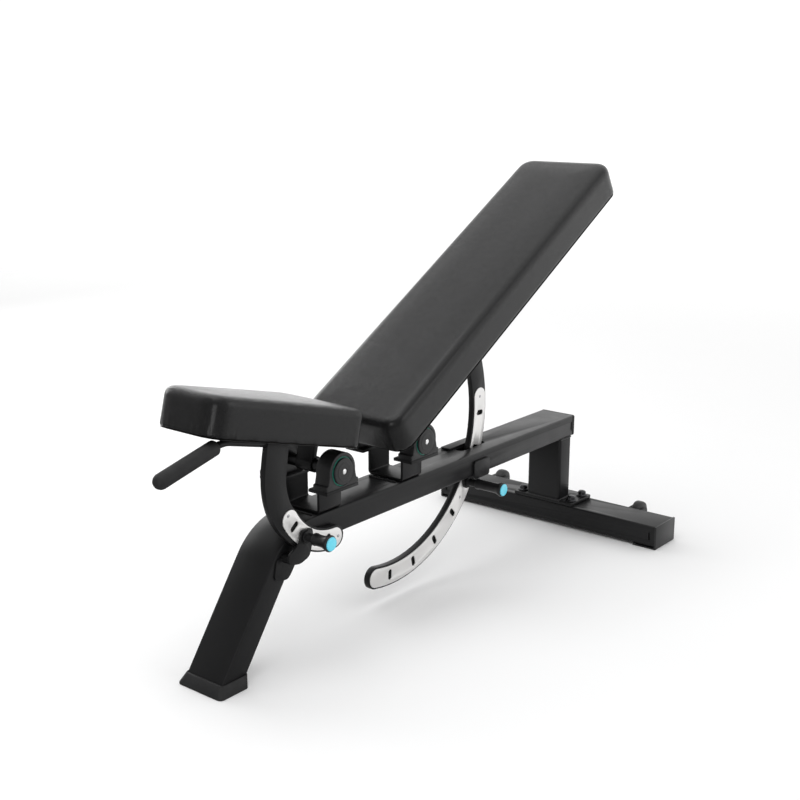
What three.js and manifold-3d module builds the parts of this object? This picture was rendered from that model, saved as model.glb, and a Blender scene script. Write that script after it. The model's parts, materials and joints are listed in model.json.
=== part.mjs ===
// Adjustable weight bench: a bent main tube on a bolted crossbar, with a seat and a backrest that
// pivot in pillow blocks and lock by spring pins in curved ladders.
// Millimetres. X is sideways, +Y runs from the front foot to the crossbar, +Z is up.
// Places along Y are given from FRONT_DATUM, and the whole bench is centred at the end.
import * as THREE from "three";
import { mergeVertices } from "three/addons/utils/BufferGeometryUtils.js";
import Module from "manifold-3d";

const wasm = await Module();
wasm.setup();
const { Manifold, Mesh: ManifoldMesh } = wasm;

// ---------- driving dimensions ----------
const GAP = 0.3; // clearance between touching pieces

const TUBE = { wide: 92, deep: 50, wall: 3, corner: 4 };
const BEAM = { top: 268, end: 1193, knee: 183.4, legAngle: rad(55), bendRadius: 138, legBottom: 6 };
const BOOT = { height: 21, halfBottom: 57, halfTop: 48.5, bottom: [-5, 66], top: [6, 74], corner: 9 };
const END_CAP = { thick: 6, plug: 24 };
const SNAP = { wide: 5, tall: 20, fromEnd: 18 }; // slot in a tube's walls that holds its end cap

const CROSSBAR = { half: 312, bottom: 5.5, front: 1129.5 };
const FOOT = { cap: 5, sole: 3, inner: 252, lip: 8, plug: 22 };
const PLATE = { half: 84, thick: 8 };
const BOLT = { x: 69, front: 21, rear: 72, flange: 13.5, head: 10, height: 13, shank: 6, length: 24 };
const WHEEL = { x: 202, radius: 25, wide: 23, y: 1250.5, z: 39, bore: 4.5 };
const FORK = { thick: 3, half: 18, height: 24 };

const AXLE = { z: 357.5, radius: 12.5, seatY: 291, backY: 541 };
const BLOCK = { inner: 51.5, outer: 87, half: 44, foot: 9.7, dome: 36, recess: 29, recessDeep: 4 };
const BRACKET = { thick: 6, length: 62, behind: 10, bend: 9, flangeTop: 325.5, flange: 6.5 };
const RING = { inner: 22.5, outer: 28.6, thick: 3 };
const HUB_CAP = { radius: 26, thick: 4.5 };

const SEAT = {
  tilt: rad(14.5), rear: 15, front: -332, bottom: 53, top: 119.5,
  halfRear: 113, halfFront: 75, cornerRear: 22, cornerFront: 38, edge: 13,
};
const BACK = {
  recline: rad(30), low: -87, high: 826, bottom: 58.5, top: 128.3, half: 120, corner: 34, edge: 15,
};
const BOARD = { seat: 5, back: 5, inset: 4 }; // each board's thickness, and the cover's wrap round it
const STEP = rad(15); // one hole of either ladder
const FRAME_BAR = { half: 30, bottom: 17, low: -28, high: 507, wall: 3 };
const BACK_HUB = 19;
const SEAT_POST = { half: 20, front: -14, rear: -2, hub: 16, plate: 6, spine: [-140, -2] };

const SEAT_LADDER = { radius: 136, half: 22.5, rest: rad(-127), end: rad(-88), x: 50, thick: 12 };
const BACK_LADDER = { radius: 302, half: 23.5, rest: rad(-33), end: rad(-101.5), x: -6, thick: 12 };
const SCALE = { thick: 1.5, margin: 3.5 };
const SLOT = { wide: 11.5, long: 23 };
const BEAM_SLOT = { front: 772, rear: 866, half: 11 };
const GUIDE = { inner: -11.5, outer: -36, front: 756, rear: 865, thick: 5 };

const LATCH = {
  travel: 14, ear: 5, sleeve: 8.5, flange: 13, flangeLong: 4, bore: 6.6,
  stem: 3, tip: 5, collar: 6.2, collarLong: 3, bush: 4,
};
const KNOB = { head: 10, rim: 15.7, wall: 3, cap: 13.4, capThick: 2 };
const HANDLE = { x: 53, bar: 6.5, grip: 14, root: -160 };

// ---------- materials ----------
function paint(color, roughness, metalness) {
  return new THREE.MeshStandardMaterial({ color, roughness, metalness });
}

const POWDER_COAT = paint(0x1c1c1e, 0.5, 0.3);
const LEATHER = paint(0x151516, 0.55, 0);
const PLYWOOD = paint(0x2a2320, 0.8, 0);
const PLASTIC = paint(0x121213, 0.45, 0);
const RUBBER = paint(0x0f0f10, 0.8, 0);
const STEEL = paint(0xd8d8da, 0.3, 1);
const ZINC = paint(0x303033, 0.35, 0.9);
const SEAL_GREEN = paint(0x0c6b5a, 0.4, 0);
const KNOB_BLUE = paint(0x49c7e8, 0.3, 0);

function rad(degrees) {
  return (degrees * Math.PI) / 180;
}

// ---------- geometry helpers ----------
const AXIS_X = new THREE.Vector3(1, 0, 0);
const AXIS_Y = new THREE.Vector3(0, 1, 0);
const AXIS_Z = new THREE.Vector3(0, 0, 1);

function solid(geometry) {
  const bare = geometry.clone();
  bare.deleteAttribute("normal");
  bare.deleteAttribute("uv");
  const merged = mergeVertices(bare, 1e-4);
  return new Manifold(
    new ManifoldMesh({
      numProp: 3,
      vertProperties: merged.attributes.position.array,
      triVerts: new Uint32Array(merged.index.array),
    }),
  );
}

function geometry(body) {
  const mesh = body.getMesh();
  const made = new THREE.BufferGeometry();
  made.setAttribute("position", new THREE.BufferAttribute(new Float32Array(mesh.vertProperties), 3));
  made.setIndex(new THREE.BufferAttribute(new Uint32Array(mesh.triVerts), 1));
  const flat = made.toNonIndexed();
  flat.computeVertexNormals();
  return flat;
}

// Extrusion of a shape, with its edges rounded by `round` and its outline kept.
function prism(shape, depth, round, curveSegments) {
  return new THREE.ExtrudeGeometry(shape, {
    depth: depth - 2 * round,
    curveSegments,
    bevelEnabled: round > 0,
    bevelThickness: round,
    bevelSize: round,
    bevelOffset: -round,
    bevelSegments: 2,
  }).translate(0, 0, round);
}

// A shape drawn in Y and Z, between two X.
function alongX(shape, from, to, { round = 0, segments = 8 } = {}) {
  const basis = new THREE.Matrix4().makeBasis(AXIS_Y, AXIS_Z, AXIS_X);
  return solid(prism(shape, to - from, round, segments).applyMatrix4(basis).translate(from, 0, 0));
}

// A shape drawn in X and Z, between two Y.
function alongY(shape, from, to, { round = 0, segments = 8 } = {}) {
  const basis = new THREE.Matrix4().makeBasis(AXIS_X, AXIS_Z, AXIS_Y.clone().negate());
  return solid(prism(shape, to - from, round, segments).applyMatrix4(basis).translate(0, to, 0));
}

// A shape drawn in X and Y, between two Z.
function alongZ(shape, from, to, { round = 0, segments = 8 } = {}) {
  return solid(prism(shape, to - from, round, segments).translate(0, 0, from));
}

function box(x, y, z) {
  const [dx, dy, dz] = [x[1] - x[0], y[1] - y[0], z[1] - z[0]];
  return solid(new THREE.BoxGeometry(dx, dy, dz).translate(x[0] + dx / 2, y[0] + dy / 2, z[0] + dz / 2));
}

function roundedRect(u, v, corner) {
  const shape = new THREE.Shape();
  shape.moveTo(u[0] + corner, v[0]);
  shape.lineTo(u[1] - corner, v[0]);
  shape.absarc(u[1] - corner, v[0] + corner, corner, -Math.PI / 2, 0, false);
  shape.absarc(u[1] - corner, v[1] - corner, corner, 0, Math.PI / 2, false);
  shape.absarc(u[0] + corner, v[1] - corner, corner, Math.PI / 2, Math.PI, false);
  shape.absarc(u[0] + corner, v[0] + corner, corner, Math.PI, 1.5 * Math.PI, false);
  shape.closePath();
  return shape;
}

function disc(u, v, radius) {
  const shape = new THREE.Shape();
  shape.absarc(u, v, radius, 0, 2 * Math.PI, false);
  return shape;
}

function polygon(points) {
  return new THREE.Shape(points.map(([u, v]) => new THREE.Vector2(u, v)));
}

// A turned piece about the X axis: profile points are [radius, x].
function turnedX(profile, segments = 24) {
  const points = profile.map(([r, x]) => new THREE.Vector2(r, x));
  return solid(new THREE.LatheGeometry(points, segments).rotateZ(-Math.PI / 2));
}

function turnedZ(profile, segments = 16) {
  const points = profile.map(([r, z]) => new THREE.Vector2(r, z));
  return solid(new THREE.LatheGeometry(points, segments).rotateX(Math.PI / 2));
}

function polar(radius, angle) {
  return [radius * Math.cos(angle), radius * Math.sin(angle)];
}

// ---------- the bench ----------
const bench = new THREE.Group();
const FRONT_DATUM = -576; // the front foot's datum in the bench's own centred frame
bench.position.y = FRONT_DATUM;

function add(name, body, material, parent = bench) {
  const mesh = new THREE.Mesh(geometry(body), material);
  mesh.name = name;
  parent.add(mesh);
  return mesh;
}

// ---------- main tube ----------
// Side outline of the bent tube, inset from its outer faces, with its ends moved by `extra`.
function mainTubeOutline(inset, extra) {
  const { top, knee, legAngle, bendRadius, legBottom } = BEAM;
  const centre = [knee + bendRadius * Math.tan(legAngle / 2), top - bendRadius];
  const outer = bendRadius - inset;
  const inner = bendRadius - TUBE.deep + inset;
  const turn = Math.PI / 2 + legAngle;
  const bottom = legBottom - extra;
  const downTo = ([y, z]) => [y - (z - bottom) / Math.tan(legAngle), bottom];
  const onBend = (radius) => {
    const [y, z] = polar(radius, turn);
    return [centre[0] + y, centre[1] + z];
  };
  const end = BEAM.end - END_CAP.thick - GAP + extra;
  const shape = new THREE.Shape();
  shape.moveTo(...downTo(onBend(outer)));
  shape.lineTo(...onBend(outer));
  shape.absarc(...centre, outer, turn, Math.PI / 2, true);
  shape.lineTo(end, top - inset);
  shape.lineTo(end, top - TUBE.deep + inset);
  shape.absarc(...centre, inner, Math.PI / 2, turn, false);
  shape.lineTo(...downTo(onBend(inner)));
  shape.closePath();
  return shape;
}

function mainBeam() {
  const half = TUBE.wide / 2;
  const hollow = half - TUBE.wall;
  const outer = alongX(mainTubeOutline(0, 0), -half, half, { round: TUBE.corner, segments: 6 });
  const inner = alongX(mainTubeOutline(TUBE.wall, 5), -hollow, hollow, { segments: 6 });
  const slot = roundedRect([-BEAM_SLOT.half, BEAM_SLOT.half], [BEAM_SLOT.front, BEAM_SLOT.rear], 10);
  const cut = alongZ(slot, BEAM.top - TUBE.deep - 5, BEAM.top + 5, { segments: 3 });
  const snapAt = BEAM.end - SNAP.fromEnd;
  const middle = BEAM.top - TUBE.deep / 2;
  const snap = roundedRect([snapAt, snapAt + SNAP.wide], [middle - SNAP.tall / 2, middle + SNAP.tall / 2], 2);
  return outer.subtract(inner).subtract(cut).subtract(alongX(snap, -half - 5, half + 5, { segments: 2 }));
}

function frontBoot() {
  const level = (half, span, z) =>
    roundedRect([-half, half], span, BOOT.corner)
      .getPoints(3)
      .map((p) => [p.x, p.y, z]);
  const block = Manifold.hull([
    ...level(BOOT.halfBottom, BOOT.bottom, 0),
    ...level(BOOT.halfBottom, BOOT.bottom, 3),
    ...level(BOOT.halfTop, BOOT.top, BOOT.height),
  ]);
  const half = TUBE.wide / 2 + GAP;
  const legRoom = alongX(mainTubeOutline(-GAP, GAP), -half, half, { segments: 6 });
  return block.subtract(legRoom);
}

// A plug with a flat head that closes a tube, drawn for a tube section in U and V.
function plugSections(u, v) {
  const clear = TUBE.wall + GAP;
  return {
    head: roundedRect(u, v, TUBE.corner),
    plug: roundedRect([u[0] + clear, u[1] - clear], [v[0] + clear, v[1] - clear], 2),
  };
}

function beamEndCap() {
  const { head, plug } = plugSections([-TUBE.wide / 2, TUBE.wide / 2], [BEAM.top - TUBE.deep, BEAM.top]);
  const face = BEAM.end - END_CAP.thick;
  return alongY(head, face, BEAM.end, { round: 1.5, segments: 3 }).add(
    alongY(plug, face - END_CAP.plug, face + 1, { segments: 2 }),
  );
}

// ---------- rear stand ----------
const crossbarRear = CROSSBAR.front + TUBE.wide;
const crossbarTop = CROSSBAR.bottom + TUBE.deep;
const plateTop = crossbarTop + GAP + PLATE.thick;

function rearPost() {
  const half = TUBE.wide / 2;
  const front = CROSSBAR.front + 1;
  const section = roundedRect([-half, half], [front, front + TUBE.deep], 7);
  const wall = TUBE.wall;
  section.holes.push(roundedRect([wall - half, half - wall], [front + wall, front + TUBE.deep - wall], 4));
  return alongZ(section, plateTop + GAP, BEAM.top - TUBE.deep - GAP, { segments: 3 });
}

function boltPlaces() {
  return [BOLT.front, BOLT.rear].flatMap((y) => [-BOLT.x, BOLT.x].map((x) => [x, CROSSBAR.front + y]));
}

function boltHoles(from, to) {
  return Manifold.union(
    boltPlaces().map(([x, y]) => alongZ(disc(x, y, BOLT.shank + GAP), from, to, { segments: 6 })),
  );
}

function crossbar() {
  const span = [CROSSBAR.front, crossbarRear];
  const section = roundedRect(span, [CROSSBAR.bottom, crossbarTop], TUBE.corner);
  const wall = TUBE.wall;
  section.holes.push(
    roundedRect([span[0] + wall, span[1] - wall], [CROSSBAR.bottom + wall, crossbarTop - wall], 2),
  );
  const end = CROSSBAR.half - FOOT.cap - GAP;
  const middle = CROSSBAR.bottom + TUBE.deep / 2;
  const snaps = [-1, 1].map((side) => {
    const x = side * (CROSSBAR.half - SNAP.fromEnd);
    const [wide, tall] = [SNAP.wide / 2, SNAP.tall / 2];
    const slot = roundedRect([x - wide, x + wide], [middle - tall, middle + tall], 2);
    return alongY(slot, span[0] - 5, span[1] + 5, { segments: 2 });
  });
  return alongX(section, -end, end, { segments: 3 })
    .subtract(boltHoles(crossbarTop - 10, crossbarTop + 5))
    .subtract(snaps[0])
    .subtract(snaps[1]);
}

function crossbarPlate() {
  const outline = roundedRect([-PLATE.half, PLATE.half], [CROSSBAR.front, crossbarRear], 5);
  const plate = alongZ(outline, crossbarTop + GAP, plateTop, { round: 1, segments: 3 });
  return plate.subtract(boltHoles(crossbarTop - 5, plateTop + 5));
}

function flangeBolt([x, y]) {
  const { flange, head, height, shank, length } = BOLT;
  const bolt = turnedZ([
    [0, -length], [shank, -length], [shank, 0], [flange, 0], [flange, 2], [head, 4],
    [head, height - 4], [head - 2.5, height - 1.2], [head - 5, height - 0.4], [0, height],
  ]);
  return bolt.translate([x, y, plateTop + GAP]);
}

// The end foot of the crossbar: an end cap, a sole that reaches in under the tube, and a plug.
function crossbarFoot(side) {
  const { half, bottom } = CROSSBAR;
  const { cap, sole, inner, lip, plug } = FOOT;
  const wide = [CROSSBAR.front - 1, crossbarRear + 1];
  const face = half - cap;
  const outline = polygon([
    [inner, 0], [half - 1, 0], [half, 1.5], [half, crossbarTop - 1], [half - 1, crossbarTop],
    [face, crossbarTop], [face, sole], [inner + lip, sole], [inner + lip, bottom - GAP],
    [inner, bottom - GAP],
  ]);
  const { plug: section } = plugSections([CROSSBAR.front, crossbarRear], [bottom, crossbarTop]);
  const foot = alongY(outline, ...wide).add(alongX(section, face - plug, face + 1, { segments: 2 }));
  return side > 0 ? foot : foot.mirror([1, 0, 0]);
}

function wheelFork(x) {
  const { thick, half, height } = FORK;
  const back = crossbarRear + GAP;
  const reach = WHEEL.y + 9;
  const low = WHEEL.z - height / 2;
  const high = WHEEL.z + height / 2;
  const plate = box([x - half, x + half], [back, back + thick], [low, high]);
  const tabs = [-1, 1].map((side) => {
    const ear = roundedRect([back, reach], [low, high], 8);
    const face = x + side * (half - thick / 2);
    return alongX(ear, face - thick / 2, face + thick / 2, { segments: 3 });
  });
  const bore = alongX(disc(WHEEL.y, WHEEL.z, WHEEL.bore - 0.2), x - half - 2, x + half + 2, { segments: 6 });
  return plate.add(tabs[0]).add(tabs[1]).subtract(bore);
}

function wheel(x) {
  const { radius, wide, bore } = WHEEL;
  const half = wide / 2;
  return turnedX([
    [bore, -half], [radius - 5, -half], [radius - 1.5, -half + 2], [radius, -half + 6],
    [radius, half - 6], [radius - 1.5, half - 2], [radius - 5, half], [bore, half], [bore, -half],
  ], 32).translate([x, WHEEL.y, WHEEL.z]);
}

function wheelBolt(x) {
  const shank = WHEEL.bore - 0.5;
  const end = FORK.half + GAP;
  return turnedX([
    [0, -end - 5], [6.5, -end - 5], [6.5, -end], [shank, -end], [shank, end + 3], [0, end + 4],
  ], 12).translate([x, WHEEL.y, WHEEL.z]);
}

// ---------- axle supports ----------
// A hat-shaped bracket: a base on the beam, two walls, and a flange outwards under each block.
function axleBracket(axleY) {
  const { thick, length, behind, bend, flangeTop, flange } = BRACKET;
  const half = TUBE.wide / 2;
  const base = BEAM.top + GAP;
  const span = [axleY + behind - length / 2, axleY + behind + length / 2];
  const outer = roundedRect([-half, half], [base, flangeTop + bend], bend);
  const inner = roundedRect([thick - half, half - thick], [base + thick, flangeTop + 2 * bend], bend - thick);
  const walls = alongY(outer, ...span, { segments: 3 })
    .subtract(alongY(inner, span[0] - 1, span[1] + 1, { segments: 3 }))
    .subtract(box([-half - 1, half + 1], [span[0] - 1, span[1] + 1], [flangeTop, flangeTop + 2 * bend]));
  const flanges = [-1, 1].map((side) => {
    const edges = [side * (half - thick), side * BLOCK.outer].sort((a, b) => a - b);
    return box(edges, [axleY - BLOCK.half, axleY + BLOCK.half], [flangeTop - flange, flangeTop]);
  });
  return walls.add(flanges[0]).add(flanges[1]);
}

function blockOutline() {
  const { half, foot, dome } = BLOCK;
  const base = BRACKET.flangeTop + GAP - AXLE.z;
  const start = rad(-8);
  const shape = new THREE.Shape();
  shape.moveTo(-half, base);
  shape.lineTo(half, base);
  shape.lineTo(half, base + foot);
  shape.lineTo(dome + 3, base + foot + 2);
  shape.lineTo(...polar(dome, start));
  shape.absarc(0, 0, dome, start, Math.PI - start, false);
  shape.lineTo(-dome - 3, base + foot + 2);
  shape.lineTo(-half, base + foot);
  shape.closePath();
  return shape;
}

function pillowBlock(axleY, side) {
  const { inner, outer, recess, recessDeep } = BLOCK;
  const block = alongX(blockOutline(), inner + GAP, outer, { round: 1.2, segments: 8 })
    .subtract(alongX(disc(0, 0, AXLE.radius + GAP), inner - 5, outer + 5))
    .subtract(alongX(disc(0, 0, recess), outer - recessDeep, outer + 5, { segments: 12 }));
  return (side > 0 ? block : block.mirror([1, 0, 0])).translate([0, axleY, AXLE.z]);
}

function sealRing(axleY, side) {
  const { inner, outer, thick } = RING;
  const back = BLOCK.outer - BLOCK.recessDeep + GAP;
  const ring = turnedX([
    [inner, back], [outer, back], [outer, back + thick - 1], [outer - 1, back + thick], [inner, back + thick],
    [inner, back],
  ], 32);
  return (side > 0 ? ring : ring.mirror([1, 0, 0])).translate([0, axleY, AXLE.z]);
}

const axleEnd = BLOCK.outer - BLOCK.recessDeep + RING.thick + GAP;

function axle() {
  return turnedX([[0, -axleEnd], [AXLE.radius, -axleEnd], [AXLE.radius, axleEnd], [0, axleEnd]], 24);
}

function hubCap(side) {
  const { radius, thick } = HUB_CAP;
  const from = axleEnd + GAP;
  const cap = turnedX([
    [0, from], [radius, from], [radius, from + thick - 1.2], [radius - 1.2, from + thick], [4, from + thick],
    [2.6, from + thick - 1], [0, from + thick - 1],
  ], 32);
  return side > 0 ? cap : cap.mirror([1, 0, 0]);
}

// Undersides of the two boards, in each cushion's own frame.
const seatUnderside = SEAT.bottom - GAP - BOARD.seat;
const backUnderside = BACK.bottom - GAP - BOARD.back;
const handleLow = seatUnderside - HANDLE.bar - 0.5;

// ---------- ladders ----------
// A band of constant width about the axle from one angle to another, with round ends.
function bandOutline(radius, half, from, to) {
  const shape = new THREE.Shape();
  shape.absarc(0, 0, radius + half, from, to, false);
  shape.absarc(...polar(radius, to), half, to, to + Math.PI, false);
  shape.absarc(0, 0, radius - half, to, from, true);
  shape.absarc(...polar(radius, from), half, from + Math.PI, from + 2 * Math.PI, false);
  shape.closePath();
  return shape;
}

// One locking slot, longer along the radius, cut through in X.
function ladderSlot(radius, angle, x) {
  const straight = (SLOT.long - SLOT.wide) / 2;
  const end = SLOT.wide / 2;
  const outline = roundedRect([radius - straight - end, radius + straight + end], [-end, end], end - 0.01);
  return alongX(outline, ...x, { segments: 4 }).rotate([THREE.MathUtils.radToDeg(angle), 0, 0]);
}

function slotsOf(ladder, steps, x) {
  return Manifold.union(steps.map((step) => ladderSlot(ladder.radius, ladder.rest + step * STEP, x)));
}

const SEAT_STEPS = [-1, 0, 1, 2];
const BACK_STEPS = [2, 1, 0, -1, -2, -3, -4];

// The seat ladder: an arm down from the seat that turns into the slotted arc under the axle.
function seatLadder() {
  const { radius, half, end, x, thick } = SEAT_LADDER;
  const start = rad(-118);
  const inside = rad(-145);
  const shape = new THREE.Shape();
  shape.moveTo(-111, 96);
  shape.lineTo(-165, 96);
  shape.splineThru([
    new THREE.Vector2(-176, 30), new THREE.Vector2(-173, -22), new THREE.Vector2(-154, -70),
    new THREE.Vector2(-118, -112), new THREE.Vector2(...polar(radius + half, start)),
  ]);
  shape.absarc(0, 0, radius + half, start, end, false);
  shape.absarc(...polar(radius, end), half, end, end + Math.PI, false);
  shape.absarc(0, 0, radius - half, end, inside, true);
  shape.splineThru([
    new THREE.Vector2(-114, -38), new THREE.Vector2(-124, 0), new THREE.Vector2(-120, 40),
    new THREE.Vector2(-111, 96),
  ]);
  const socket = alongY(disc(HANDLE.x, handleLow, HANDLE.bar + GAP), -260, HANDLE.root, { segments: 6 });
  const seatRoom = box([x - 1, x + thick + 1], [-400, 400], [seatUnderside - GAP, 400]);
  const tilt = [THREE.MathUtils.radToDeg(-SEAT.tilt), 0, 0];
  return alongX(shape, x, x + thick, { segments: 5 })
    .subtract(seatRoom.rotate(tilt))
    .subtract(socket.rotate(tilt))
    .subtract(slotsOf(SEAT_LADDER, SEAT_STEPS, [x - 5, x + thick + 5]));
}

function backLadder() {
  const { radius, half, end, x, thick } = BACK_LADDER;
  const band = bandOutline(radius, half, end, rad(45));
  const room = box([x - 1, x + thick + 1], [-100, 400], [FRAME_BAR.bottom - GAP, 400]);
  return alongX(band, x, x + thick, { segments: 16 })
    .subtract(room.rotate([THREE.MathUtils.radToDeg(BACK.recline), 0, 0]))
    .subtract(slotsOf(BACK_LADDER, BACK_STEPS, [x - 5, x + thick + 5]));
}

// The bright scale plate on the near face of a ladder, with the same slots.
function scalePlate(ladder, steps, from, to, segments) {
  const face = ladder.x + ladder.thick + GAP;
  const band = bandOutline(ladder.radius, ladder.half - SCALE.margin, from, to);
  return alongX(band, face, face + SCALE.thick, { segments }).subtract(
    slotsOf(ladder, steps, [face - 5, face + 5]),
  );
}

// ---------- seat ----------
// Plan of the seat cushion: wide at the rear, narrow at the front, with round corners.
function seatPlan(inset) {
  const { rear, front, halfRear, halfFront, cornerRear, cornerFront } = SEAT;
  const corners = [
    [halfRear - inset, rear - inset, cornerRear], [-halfRear + inset, rear - inset, cornerRear],
    [-halfFront + inset, front + inset, cornerFront], [halfFront - inset, front + inset, cornerFront],
  ];
  return roundedPolygon(corners);
}

// A closed outline with a quadratic rounding at each corner [u, v, size].
function roundedPolygon(corners) {
  const shape = new THREE.Shape();
  corners.forEach(([u, v, size], i) => {
    const before = corners[(i + corners.length - 1) % corners.length];
    const after = corners[(i + 1) % corners.length];
    const step = (to) => {
      const length = Math.hypot(to[0] - u, to[1] - v);
      return [u + ((to[0] - u) * size) / length, v + ((to[1] - v) * size) / length];
    };
    const start = step(before);
    if (i === 0) shape.moveTo(...start);
    else shape.lineTo(...start);
    shape.quadraticCurveTo(u, v, ...step(after));
  });
  shape.closePath();
  return shape;
}

// A cushion: rounded along its upper edge, square along its lower edge, with a pocket for its board.
function cushion(plan, [underside, boardTop, top], edge, segments) {
  const block = alongZ(plan(0), underside - 2 * edge, top, { round: edge, segments });
  const pocket = alongZ(plan(BOARD.inset - GAP), underside - 1, boardTop + GAP, { segments });
  return block.trimByPlane([0, 0, 1], underside).subtract(pocket);
}

function seatPad() {
  return cushion(seatPlan, [seatUnderside, SEAT.bottom - GAP, SEAT.top], SEAT.edge, 6);
}

function seatBoard() {
  return alongZ(seatPlan(BOARD.inset), seatUnderside, SEAT.bottom - GAP, { segments: 6 });
}

// The seat frame: a plate under the board, a post down to a hub on the axle, and an arm of the plate
// out to the ladder.
function seatFrame() {
  const { half, front, rear, hub: radius, plate: thick, spine } = SEAT_POST;
  const top = seatUnderside - GAP;
  const under = top - thick;
  const arm = box([-half, SEAT_LADDER.x - GAP], [HANDLE.root + 4, -110], [under, top]);
  return box([-half, half], spine, [under, top])
    .add(arm)
    .add(box([-half, half], [front, rear], [0, top]))
    .add(alongX(disc(0, 0, radius), -half, half))
    .subtract(alongX(disc(0, 0, AXLE.radius + GAP), -60, 60));
}

// The lift handle: a round bar from the ladder that bends down to the front, with a rubber grip.
const GRIP = { start: [-299, handleLow - 8.5], end: [-419, handleLow - 73.8], stop: 0.88 };

function handleBar() {
  const at = ([y, z]) => new THREE.Vector3(HANDLE.x, y, z);
  const { start, end, stop } = GRIP;
  const slope = (start[0] - end[0]) / (start[1] - end[1]);
  const bend = [start[0] + (handleLow - start[1]) * slope, handleLow];
  const inGrip = [start[0] + (end[0] - start[0]) * stop, start[1] + (end[1] - start[1]) * stop];
  const path = new THREE.CurvePath();
  const before = [bend[0] + 18, handleLow];
  path.add(new THREE.LineCurve3(at([HANDLE.root - GAP, handleLow]), at(before)));
  path.add(new THREE.QuadraticBezierCurve3(at(before), at(bend), at(start)));
  path.add(new THREE.LineCurve3(at(start), at(inGrip)));
  const section = disc(0, 0, HANDLE.bar);
  return solid(new THREE.ExtrudeGeometry(section, {
    extrudePath: path, steps: 24, curveSegments: 6, bevelEnabled: false,
  }));
}

function handleGrip() {
  const { start, end, stop } = GRIP;
  const { grip, bar, x } = HANDLE;
  const length = Math.hypot(end[0] - start[0], end[1] - start[1]);
  const hole = bar + GAP;
  const turned = turnedX([
    [0, length * stop + 2], [hole, length * stop + 2], [hole, 0], [grip - 2, 0], [grip - 0.5, 2], [grip, 5],
    [grip, length - 12], [grip - 1.5, length - 7], [grip - 5, length - 2.5], [grip - 9, length - 0.6],
    [0, length],
  ], 20);
  const slope = Math.atan2(end[1] - start[1], end[0] - start[0]);
  return turned
    .rotate([0, 0, 90])
    .rotate([THREE.MathUtils.radToDeg(slope), 0, 0])
    .translate([x, ...start]);
}

// ---------- backrest ----------
function backPlan(inset) {
  const { half, low, high, corner } = BACK;
  return roundedRect([inset - half, half - inset], [low + inset, high - inset], corner);
}

function backPad() {
  return cushion(backPlan, [backUnderside, BACK.bottom - GAP, BACK.top], BACK.edge, 4);
}

function backBoard() {
  return alongZ(backPlan(BOARD.inset), backUnderside, BACK.bottom - GAP, { segments: 4 });
}

// The back frame: a flat tube along the board, and a web down to a hub on the axle.
function backFrame() {
  const { half, bottom, low, high, wall } = FRAME_BAR;
  const top = backUnderside - GAP;
  const section = roundedRect([-half, half], [bottom, top], 3);
  const inner = roundedRect([wall - half, half - wall], [bottom + wall, top - wall], 1);
  const hub = alongX(disc(0, 0, BACK_HUB), -half, half);
  const web = box([-half, half], [-14, 14], [0, bottom + 2]);
  return alongY(section, low, high, { segments: 2 })
    .add(hub)
    .add(web)
    .subtract(alongY(inner, 30, high + 10, { segments: 2 }))
    .subtract(alongX(disc(0, 0, AXLE.radius + GAP), -60, 60));
}

// ---------- latches ----------
// Both latches are drawn about their own pin axis, with X = 0 on the near face of the scale plate.
const earFace = [1.2, 1.2 + LATCH.ear];
const sleeveFront = earFace[1] + GAP;
const collarAt = sleeveFront + LATCH.bush + 1.5 + LATCH.travel;
const cavityAt = (long) => sleeveFront + long + 1.3 + LATCH.travel;

function sleeve(long) {
  const { sleeve: outer, flange, flangeLong, bore, tip, stem, bush } = LATCH;
  const end = sleeveFront + long;
  return turnedX([
    [tip + GAP, sleeveFront], [flange, sleeveFront], [flange, sleeveFront + flangeLong],
    [outer, sleeveFront + flangeLong + 0.8], [outer, end], [stem + GAP, end], [stem + GAP, end - bush],
    [bore, end - bush], [bore, sleeveFront + bush], [tip + GAP, sleeveFront + bush], [tip + GAP, sleeveFront],
  ], 20);
}

function pinRod(long) {
  const { tip, collar, collarLong, stem } = LATCH;
  const end = cavityAt(long) + 7.5;
  return turnedX([
    [0, 1], [tip - 1, 1], [tip, 2.2], [tip, collarAt], [collar, collarAt], [collar, collarAt + collarLong],
    [stem, collarAt + collarLong], [stem, end], [0, end],
  ], 16);
}

// The knob slides over the sleeve: a waisted skirt that flares to a round head.
function knob(long, skirt) {
  const { sleeve: inner, stem } = LATCH;
  const { head, rim, wall } = KNOB;
  const cavity = cavityAt(long);
  const end = cavity + head;
  const room = inner + 0.6;
  return turnedX([
    [0, cavity + 8], [stem + GAP, cavity + 8], [stem + GAP, cavity], [room, cavity], [room, skirt],
    [room + wall, skirt], [room + wall, skirt + 4], [room + wall - 1, skirt + 9],
    [room + wall - 1, cavity - 8], [room + wall + 1.5, cavity], [rim, cavity + 5], [rim, end - 2],
    [rim - 1, end], [0, end],
  ], 24);
}

function knobCap(long) {
  const { head, cap, capThick } = KNOB;
  const from = cavityAt(long) + head + GAP;
  const end = from + capThick;
  return turnedX([[0, from], [cap, from], [cap, end - 0.8], [cap - 0.8, end], [0, end]], 24);
}

// The spring between the rod's collar and the end of the sleeve.
function latchSpring(long, turns) {
  const wireRadius = 0.7;
  const from = collarAt + LATCH.collarLong + GAP + wireRadius;
  const to = sleeveFront + long - LATCH.bush - GAP - wireRadius;
  const radius = 4.9;
  const coil = new THREE.Curve();
  coil.getPoint = (t, target = new THREE.Vector3()) => {
    const angle = 2 * Math.PI * turns * t;
    return target.set(from + (to - from) * t, radius * Math.cos(angle), radius * Math.sin(angle));
  };
  return solid(new THREE.ExtrudeGeometry(disc(0, 0, wireRadius), {
    extrudePath: coil, steps: turns * 12, curveSegments: 3, bevelEnabled: false,
  }));
}

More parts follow.
